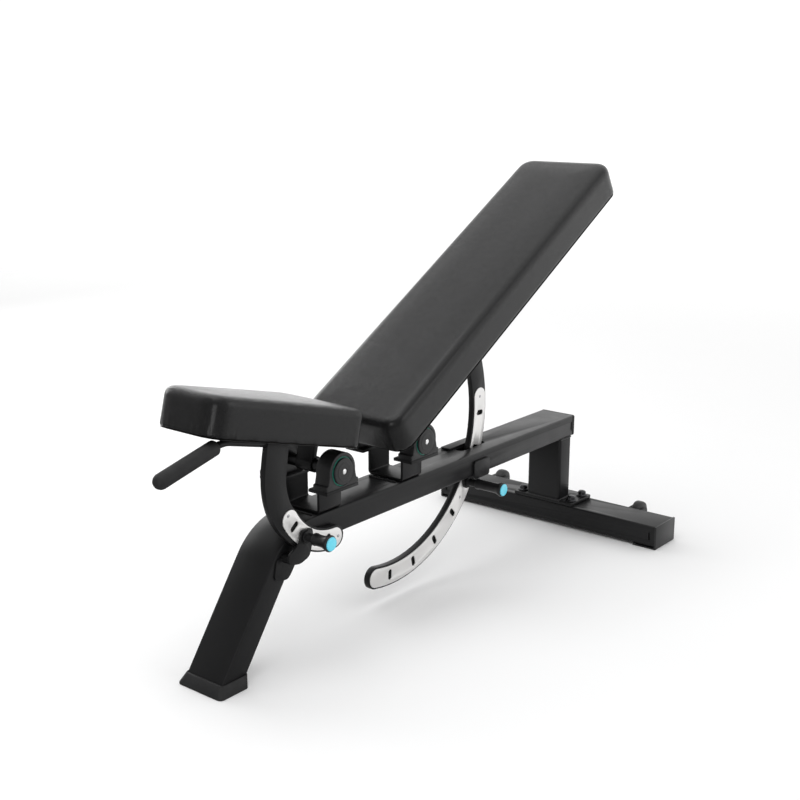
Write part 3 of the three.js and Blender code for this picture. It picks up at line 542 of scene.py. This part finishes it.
def facing(direction, place):
    """Matrix that turns local +X to direction and moves it to place."""
    turn = Vector((1, 0, 0)).rotation_difference(Vector(direction))
    return Matrix.Translation(place) @ turn.to_matrix().to_4x4()


def level_frame(body):
    """Matrix from a tilting body's level frame, with its axle at the origin, to the shared frame."""
    return Matrix.Translation(PIVOT[body]) @ Matrix.Rotation(TILT[body], 4, "X")


# ---------- cushions ----------
def remeshed(obj, voxel):
    modifier = obj.modifiers.new("remesh", "REMESH")
    modifier.mode = "VOXEL"
    modifier.voxel_size = voxel
    modifier.use_smooth_shade = True
    apply_all(obj)


def apply_all(obj):
    """Replaces the object's mesh by its evaluated one, and drops the modifiers."""
    depsgraph = bpy.context.evaluated_depsgraph_get()
    mesh = bpy.data.meshes.new_from_object(obj.evaluated_get(depsgraph))
    obj.modifiers.clear()
    obj.data = mesh


def smooth_between(value, low, high):
    """0 up to low, 1 from high, and a smooth step between."""
    t = min(1.0, max(0.0, (value - low) / (high - low)))
    return t * t * (3.0 - 2.0 * t)


def swell(obj, base, top):
    """Cloth under pressure, held at its underside; points end a little way along their normals."""
    rest = [(v.co.copy(), v.normal.copy()) for v in obj.data.vertices]
    held = obj.vertex_groups.new(name="held")
    for v in obj.data.vertices:
        weight = 1.0 - smooth_between(v.co.z, base + 0.2 * (top - base), base + 0.9 * (top - base))
        held.add([v.index], weight, "REPLACE")
    cloth = obj.modifiers.new("cloth", "CLOTH")
    cloth.settings.use_pressure = True
    cloth.settings.uniform_pressure_force = 4.0
    cloth.settings.vertex_group_mass = "held"
    cloth.settings.effector_weights.gravity = 0.0
    cloth.settings.mass = 0.3
    cloth.settings.tension_stiffness = 25
    cloth.settings.compression_stiffness = 25
    cloth.settings.bending_stiffness = 4
    cloth.point_cache.frame_start = 1
    cloth.point_cache.frame_end = CLOTH_FRAMES
    scene = bpy.context.scene
    for step in range(1, CLOTH_FRAMES + 1):
        scene.frame_set(step)
    apply_all(obj)
    scene.frame_set(1)
    moved = [min(max((v.co - start).dot(normal), -SWELL_IN), SWELL_OUT)
             for v, (start, normal) in zip(obj.data.vertices, rest)]
    moved = evened(obj.data, moved)
    for v, (start, normal), out in zip(obj.data.vertices, rest, moved):
        v.co = start + normal * out


def evened(mesh, values):
    """A value at each point of a mesh, averaged again and again with its neighbours."""
    ends = np.empty(2 * len(mesh.edges), dtype=np.int64)
    mesh.edges.foreach_get("vertices", ends)
    first, second = ends[0::2], ends[1::2]
    values = np.array(values)
    count = np.bincount(ends, minlength=len(values))
    for _ in range(SWELL_EVEN):
        around = np.bincount(first, values[second], len(values))
        around += np.bincount(second, values[first], len(values))
        values = 0.5 * values + 0.5 * around / np.maximum(count, 1)
    return values


def shape_cushion(obj, base, top, outline):
    """Crown, corner pleats and faint unevenness, in the cushion's own level frame."""
    centre = middle(outline)
    tall = top - base
    for v in obj.data.vertices:
        inward = inset_depth(outline, v.co.xy)
        high = (v.co.z - base) / tall
        crown = smooth_between(inward, *CROWN_RISE)
        v.co.z += CROWN * crown * smooth_between(high, 0.6, 0.95)
        out = (v.co.xy - centre).normalized()
        if inward < PLEAT_WIDE:
            wave = math.sin(math.atan2(out.y, out.x) * PLEAT_RATE) * PLEAT_DEEP
            wave *= corner_weight(outline, v.co.xy) * (1.0 - smooth_between(high, 0.05, 0.4))
            v.co.xy += out * wave
        ripple = noise.noise(v.co * 22.0) * 0.0001 + noise.noise(v.co * 7.0) * 0.0003
        v.co += Vector((out.x * 0.4, out.y * 0.4, 0.5 * smooth_between(high, 0.3, 0.8))) * ripple


def middle(points):
    """The mean of 2D points."""
    return sum((Vector(p) for p in points), Vector((0, 0))) / len(points)


def inset_depth(outline, point):
    """How far inside a convex outline a point lies."""
    depth = 1.0
    for a, b in zip(outline, outline[1:] + outline[:1]):
        along = Vector((b[0] - a[0], b[1] - a[1]))
        if along.length < 1e-6:
            continue
        away = (point.x - a[0]) * along.y - (point.y - a[1]) * along.x
        depth = min(depth, -away / along.length)
    return depth


def corner_weight(outline, point):
    """1 at the rounded corners of an outline, 0 along its straight sides."""
    nearest = min(outline, key=lambda p: (p[0] - point.x) ** 2 + (p[1] - point.y) ** 2)
    distance = math.hypot(nearest[0] - point.x, nearest[1] - point.y)
    return 1.0 - smooth_between(distance, 0.012, 0.03)


def convex_outline(points):
    """Corners of the convex hull of 2D points, anticlockwise."""
    points = sorted({(round(p[0], 5), round(p[1], 5)) for p in points})

    def half(run):
        hull = []
        for p in run:
            while len(hull) > 1:
                a, b = hull[-2], hull[-1]
                if (b[0] - a[0]) * (p[1] - a[1]) - (b[1] - a[1]) * (p[0] - a[0]) > 1e-9:
                    break
                hull.pop()
            hull.append(p)
        return hull[:-1]

    return half(points) + half(points[::-1])


def local_points(node, to_shared):
    """A CAD node's points in its body's level frame."""
    from_shared = to_shared.inverted()
    return [from_shared @ v.co for v in NODES[node].data.vertices]


def hull_mesh(name, points):
    """The convex hull of points."""
    bm = bmesh.new()
    for p in points:
        bm.verts.new(p)
    bmesh.ops.remove_doubles(bm, verts=bm.verts, dist=0.00005)
    made = bmesh.ops.convex_hull(bm, input=bm.verts)
    bmesh.ops.delete(bm, geom=made["geom_interior"], context="VERTS")
    mesh = bpy.data.meshes.new(name)
    bm.to_mesh(mesh)
    bm.free()
    return mesh


def cut_pocket(obj, board, to_shared):
    """Sinks the board into the cushion's underside, with a small gap round it."""
    points = local_points(board, to_shared)
    low = min(p.z for p in points)
    high = max(p.z for p in points) + BOARD_GAP
    outline = offset_outline(convex_outline([p.xy for p in points]), -BOARD_GAP)
    room = [(p.x, p.y, z) for p in outline for z in (low - 0.01, high)]
    cutter = bpy.data.objects.new("pocket", hull_mesh("pocket", room))
    bpy.context.scene.collection.objects.link(cutter)
    cut = obj.modifiers.new("pocket", "BOOLEAN")
    cut.operation = "DIFFERENCE"
    cut.solver = "EXACT"
    cut.object = cutter
    apply_all(obj)
    bpy.data.objects.remove(cutter)


def make_cushion(name, node, board, body, to_shared, material):
    """The upholstered pad that replaces a plain CAD pad."""
    points = local_points(node, to_shared)
    obj = bpy.data.objects.new(name, hull_mesh(name, points))
    bpy.context.scene.collection.objects.link(obj)
    base = min(p.z for p in points)
    top = max(p.z for p in points)
    outline = convex_outline([p.xy for p in points if p.z < base + 0.02])
    shrink_mesh(obj, base, COVER_SHRINK)
    remeshed(obj, VOXEL)
    swell(obj, base, top)
    shape_cushion(obj, base, top, outline)
    finer = obj.modifiers.new("finer", "SUBSURF")
    finer.levels = 1
    finer.render_levels = 1
    apply_all(obj)
    cap_inside(obj, outline, base, top)
    cut_pocket(obj, board, to_shared)
    obj.data.transform(to_shared)
    obj.data.materials.clear()
    obj.data.materials.append(material)
    for face in obj.data.polygons:
        face.use_smooth = True
    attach(obj, body)
    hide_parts(node)


def shrink_mesh(obj, base, amount):
    """Moves every point but the underside's inwards along its normal."""
    bm = bmesh.new()
    bm.from_mesh(obj.data)
    bm.normal_update()
    for v in bm.verts:
        inward = v.normal * -amount
        if v.co.z < base + 0.001:
            inward.z = 0.0
        v.co += inward
    bm.to_mesh(obj.data)
    bm.free()


def cap_inside(obj, outline, base, top):
    """Keeps the underside level and the cover off the neighbours."""
    centre = middle(outline)
    for v in obj.data.vertices:
        v.co.z = min(max(v.co.z, base), top + COVER_HIGH)
        outside = -inset_depth(outline, v.co.xy)
        if outside > COVER_PROUD:
            v.co.xy += (centre - v.co.xy).normalized() * (outside - COVER_PROUD)


# ---------- covers folded under the boards ----------
def offset_outline(outline, distance):
    """A convex outline moved inwards by distance, or outwards if that is negative."""
    count = len(outline)
    moved = []
    for i in range(count):
        before = Vector(outline[i]) - Vector(outline[i - 1])
        after = Vector(outline[(i + 1) % count]) - Vector(outline[i])
        side = before.normalized() + after.normalized()
        inward = Vector((-side.y, side.x)).normalized()
        moved.append(Vector(outline[i]) + inward * distance)
    return moved


def evenly(outline, step):
    """Points and directions at even steps round an outline."""
    places = []
    carry = 0.0
    for a, b in zip(outline, outline[1:] + outline[:1]):
        start, along = Vector(a), Vector(b) - Vector(a)
        length = along.length
        while carry < length:
            places.append((start + along * (carry / length), along.normalized()))
            carry += step
        carry -= length
    return places


def make_hem(name, node, body, to_shared, material, staple_material):
    """The cover's edge folded under a board, with its row of staples."""
    points = local_points(node, to_shared)
    base = min(p.z for p in points)
    outline = convex_outline([p.xy for p in points if p.z < base + 0.001])
    rim = [p for p, _ in evenly([tuple(p) for p in offset_outline(outline, HEM_INSET)], HEM_STEP)]
    centre = middle(rim)
    count = len(rim)

    def build(bm):
        rings = []
        for share, height in HEM_PROFILE:
            ring = []
            for i, p in enumerate(rim):
                inward = (centre - p).normalized()
                ragged = 1.0 + 0.07 * noise.noise(Vector((i * 0.11, share, 0.0)))
                pleat = 0.0004 * math.sin(i * 1.9) * corner_weight(outline, p) * (0.0 < share < 1.0)
                place = p + inward * (HEM_WIDE * share * ragged)
                ring.append(bm.verts.new((place.x, place.y, base + height - abs(pleat))))
            rings.append(ring)
        for low, high in zip(rings, rings[1:] + rings[:1]):
            for i in range(count):
                bm.faces.new((low[i], low[(i + 1) % count], high[(i + 1) % count], high[i]))

    make_piece(name, mesh_from(name, build, to_shared, 60), material, body)

    def staples(bm):
        inner = [tuple(p) for p in offset_outline(outline, HEM_WIDE * STAPLE_ROW)]
        size = Matrix.Diagonal((*STAPLE_SIZE, 1.0))
        for place, along in evenly(inner, STAPLE_STEP):
            turn = Matrix.Rotation(math.atan2(along.y, along.x) + STAPLE_TURN, 4, "Z")
            spot = Matrix.Translation((place.x, place.y, base - STAPLE_DROP)) @ turn
            box = bmesh.ops.create_cube(bm, size=1.0)["verts"]
            bmesh.ops.transform(bm, matrix=spot @ size, verts=box)

    row = mesh_from(name + "_staples", staples, to_shared)
    make_piece(name.replace("hem", "staples"), row, staple_material, body)


# ---------- small hardware ----------
def make_rivets(materials):
    """Domed rivets that hold the bright scale plates on the ladders."""
    head = domed_head(*RIVET_HEAD)
    for body, (radius, angles) in RIVETS.items():
        node = f"{body}_scale_plate"
        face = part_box(node)[1].x
        for number, degrees in enumerate(angles, 1):
            angle = math.radians(degrees)
            place = PIVOT[body] + Vector((0, radius * math.cos(angle), radius * math.sin(angle)))
            place.x = face - 0.0002
            mesh = mesh_from("rivet", lambda bm: lathe(bm, head, 20), facing((1, 0, 0), place))
            make_piece(f"{body}_plate_rivet_{number}", mesh, materials["spring_steel"], body)


def make_axle_centres(materials):
    """The bright centre of each axle end and the washer round it, on its dark disc."""
    for body in ("seat", "back"):
        for side, way in (("left", -1), ("right", 1)):
            low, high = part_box(f"{body}_axle_cap_{side}")
            place = PIVOT[body].copy()
            place.x = (high.x if way > 0 else low.x) - way * AXLE_SINK
            mesh = mesh_from("centre", lambda bm: lathe(bm, AXLE_CENTRE), facing((way, 0, 0), place))
            make_piece(f"{body}_axle_centre_{side}", mesh, materials["bright_pin"], body)
            mesh = mesh_from("washer", lambda bm: lathe(bm, AXLE_WASHER, 40), facing((way, 0, 0), place))
            make_piece(f"{body}_axle_washer_{side}", mesh, materials["cap_plastic"], body)


def make_board_screws(materials):
    """Button-head screws that hold the backrest's board to its steel frame, on the frame's underside."""
    level = level_frame("back")
    way = level.to_3x3() @ Vector((0, 0, -1))
    first, last = SCREW_SPAN
    head = domed_head(*SCREW_HEAD)
    for number in range(SCREW_COUNT):
        along = first + (last - first) * number / (SCREW_COUNT - 1)
        place = level @ Vector((0.0, along, SCREW_LEVEL))
        mesh = mesh_from("screw", lambda bm: lathe(bm, head, 24), facing(way, place))
        make_piece(f"back_frame_screw_{number + 1}", mesh, materials["bolt_steel"], "back")


def bead(name, path, radius, body, materials, closed=False):
    """A weld bead with ripples along a path of points."""
    points = []
    for a, b in zip(path, path[1:] + (path[:1] if closed else [])):
        steps = max(1, round((Vector(b) - Vector(a)).length / BEAD_STEP))
        points += [Vector(a).lerp(Vector(b), i / steps) for i in range(steps)]
    if not closed:
        points.append(Vector(path[-1]))
    count = len(points)

    def build(bm):
        rings = []
        for i, p in enumerate(points):
            ahead = points[(i + 1) % count] if closed else points[min(i + 1, count - 1)]
            behind = points[i - 1] if (closed or i) else points[0]
            along = (ahead - behind).normalized()
            side = along.orthogonal().normalized()
            other = along.cross(side)
            size = radius * (1.0 + 0.10 * math.cos(i * 2.1) + 0.12 * noise.noise(p * 160.0))
            if not closed and i in (0, count - 1):
                size *= 0.45
            angles = [2 * math.pi * k / BEAD_SIDES for k in range(BEAD_SIDES)]
            spokes = [side * math.cos(a) + other * math.sin(a) for a in angles]
            rings.append([bm.verts.new(p + spoke * size) for spoke in spokes])
        for low, high in zip(rings, rings[1:] + (rings[:1] if closed else [])):
            offset = min(range(BEAD_SIDES), key=lambda k: (high[k].co - low[0].co).length)
            for k in range(BEAD_SIDES):
                above = high[(k + 1 + offset) % BEAD_SIDES], high[(k + offset) % BEAD_SIDES]
                bm.faces.new((low[k], low[(k + 1) % BEAD_SIDES], *above))
        if not closed:
            bm.faces.new(rings[0][::-1])
            bm.faces.new(rings[-1])

    make_piece(name, mesh_from(name, build, smooth_angle=70), materials["weld"], body)


def rectangle(low, high, z):
    """Corners of a level rectangle, anticlockwise."""
    return [(low[0], low[1], z), (high[0], low[1], z), (high[0], high[1], z), (low[0], high[1], z)]


def make_welds(materials):
    """Beads round the rear post's foot, at its top, and across the ends of the two axle brackets."""
    post_low, post_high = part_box("rear_post")
    foot_low = (post_low.x - POST_FOOT_OUT, post_low.y - POST_FOOT_OUT)
    foot_high = (post_high.x + POST_FOOT_OUT, post_high.y + POST_FOOT_OUT)
    plate_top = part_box("crossbar_plate")[1].z
    round_foot = rectangle(foot_low, foot_high, plate_top + POST_FOOT_RISE)
    bead("post_foot_weld", round_foot, POST_FOOT_BEAD, "frame", materials, closed=True)
    for side, edge in (("left", post_low.x), ("right", post_high.x)):
        x, z = edge * POST_TOP_IN, post_high.z - BEAD_RISE
        line = [(x, post_low.y, z), (x, post_high.y, z)]
        bead(f"post_top_weld_{side}", line, POST_TOP_BEAD, "frame", materials)
    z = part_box("slot_guide")[0].z + BEAD_RISE
    for name in ("seat_bracket", "back_bracket"):
        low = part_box(name)[0]
        for end, from_front in BRACKET_BEAD_AT.items():
            y = low.y + from_front
            line = [(-BRACKET_BEAD_HALF, y, z), (BRACKET_BEAD_HALF, y, z)]
            bead(f"{name}_weld_{end}", line, BRACKET_BEAD, "frame", materials)


# ---------- floor, camera, light ----------
def make_floor():
    mesh = bpy.data.meshes.new("floor")
    h = FLOOR_HALF
    mesh.from_pydata([(-h, -h, 0), (h, -h, 0), (h, h, 0), (-h, h, 0)], [], [(0, 1, 2, 3)])
    floor = bpy.data.objects.new("floor", mesh)
    bpy.context.scene.collection.objects.link(floor)
    floor.location.z = -FLOOR_DROP
    mesh.materials.append(floor_paint())


def make_camera():
    data = bpy.data.cameras.new("camera")
    data.lens = CAMERA_LENS
    data.sensor_width = 36.0
    data.clip_end = 200.0
    camera = bpy.data.objects.new("camera", data)
    camera.location = CAMERA_PLACE
    camera.rotation_euler = CAMERA_TURN
    bpy.context.scene.collection.objects.link(camera)
    bpy.context.scene.camera = camera


def area_light(name, place, target, size, power):
    data = bpy.data.lights.new(name, "AREA")
    data.shape = "RECTANGLE"
    data.size, data.size_y = size
    data.energy = power
    light = bpy.data.objects.new(name, data)
    light.location = place
    light.rotation_euler = (Vector(target) - Vector(place)).to_track_quat("-Z", "Y").to_euler()
    light.visible_camera = False
    bpy.context.scene.collection.objects.link(light)


def make_world():
    """White to the camera; for light and reflections, dim low down towards the front."""
    world = bpy.data.worlds.new("studio")
    world.use_nodes = True
    sky = NodeTree(world.node_tree)
    background = sky.tree.nodes["Background"]
    background.inputs["Color"].default_value = (1.0, 1.0, 1.0, 1.0)
    way = sky.add("ShaderNodeSeparateXYZ")
    sky.link(sky.add("ShaderNodeTexCoord").outputs["Generated"], way.inputs["Vector"])
    front = sky.ramp(way.outputs["Y"], 0.0, 1.0, *SKY_FRONT, shape="SMOOTHSTEP")
    high = sky.ramp(way.outputs["Z"], 0.0, 1.0, *SKY_HIGH, shape="SMOOTHSTEP")
    lit = sky.math("MAXIMUM", front, high)
    strength = sky.math("ADD", sky.math("MULTIPLY", lit, SKY_BRIGHT - SKY_DIM), SKY_DIM)
    seen = sky.add("ShaderNodeLightPath").outputs["Is Camera Ray"]
    sky.link(sky.math("MAXIMUM", strength, seen), background.inputs["Strength"])
    bpy.context.scene.world = world


def make_lights():
    for name, settings in LIGHTS.items():
        area_light(name, *settings)
    view = bpy.context.scene.view_settings
    view.view_transform = "Standard"
    view.look = "None"


# ---------- the bench ----------
make_camera()
make_world()
make_lights()
make_floor()
paints = make_materials()
dress_frame(paints)

for body in ("seat", "back"):
    pad, board, level = f"{body}_pad", f"{body}_board", level_frame(body)
    make_cushion(f"{body}_cushion", pad, board, body, level, paints["pad_leather"])
    make_hem(f"{body}_hem", pad, body, level, paints["pad_leather"], paints["spring_steel"])
make_rivets(paints)
make_axle_centres(paints)
make_board_screws(paints)
make_welds(paints)
